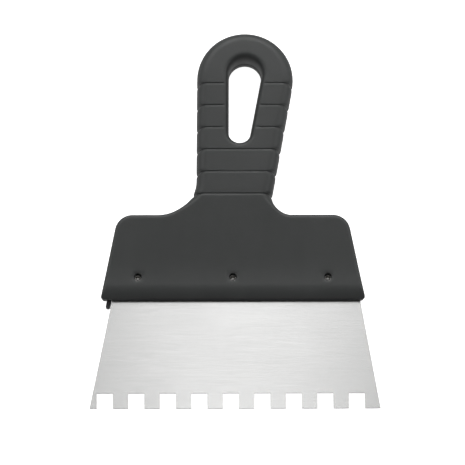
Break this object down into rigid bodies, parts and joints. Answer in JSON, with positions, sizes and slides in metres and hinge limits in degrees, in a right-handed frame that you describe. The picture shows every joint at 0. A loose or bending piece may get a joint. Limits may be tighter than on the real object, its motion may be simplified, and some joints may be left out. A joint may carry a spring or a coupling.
{
  "type": "notched trowel",
  "caption": "Trowel with a square-notched stainless blade riveted between the two moulded shells of a grooved loop grip with a finger hole.",
  "frame": {"origin": "under the centre of the tool's bounding box, on the plane of the handle's flat back", "axes": "+X along the toothed edge, to the right seen from the front; +Y from the teeth to the grip's loop; +Z out of the front face"},
  "size_m": [0.148, 0.1996, 0.0163],
  "materials": {
    "blade_steel": "satin rolled stainless sheet with a faint grain",
    "handle_plastic": "black moulded polypropylene with a fine satin texture",
    "rivet_metal": "bright nickel plate"
  },
  "bodies": {
    "root": {"blade": "blade_steel", "front_shell": "handle_plastic", "rear_shell": "handle_plastic", "rivet_left": "rivet_metal", "rivet_middle": "rivet_metal", "rivet_right": "rivet_metal"}
  },
  "joints": []
}
